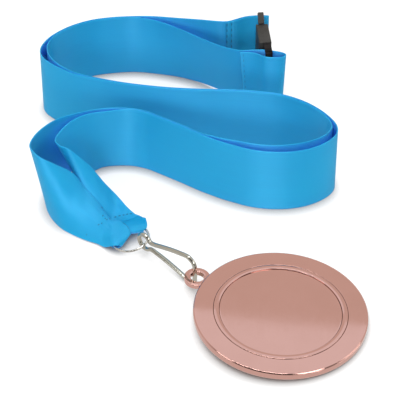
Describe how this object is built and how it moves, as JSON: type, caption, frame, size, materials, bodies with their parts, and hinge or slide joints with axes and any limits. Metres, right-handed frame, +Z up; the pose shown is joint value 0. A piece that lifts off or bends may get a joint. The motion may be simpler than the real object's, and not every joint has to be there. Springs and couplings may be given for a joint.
{
  "type": "sports medal",
  "caption": "Plain round medal with an eyelet, snap hook and ring on a two-strand satin neck ribbon with a breakaway clip, lying in an S on a table.",
  "frame": {"origin": "middle of the whole piece's box, on the table", "axes": "+Y away from the medal towards the clip, +X to the right as seen from the medal's end, +Z up from the table"},
  "size_m": [0.1001, 0.1504, 0.024],
  "materials": {
    "bronze": "polished rose bronze plating on cast zinc alloy",
    "nickel": "bright nickel plated steel wire",
    "ribbon": "satin weave",
    "black_plastic": "moulded, slightly glossy"
  },
  "bodies": {
    "root": {"medal": "bronze", "snap_hook": "nickel", "ring": "nickel", "outer_strand": "ribbon", "inner_strand": "ribbon", "clip_socket": "black_plastic", "clip_plug": "black_plastic"}
  },
  "joints": []
}
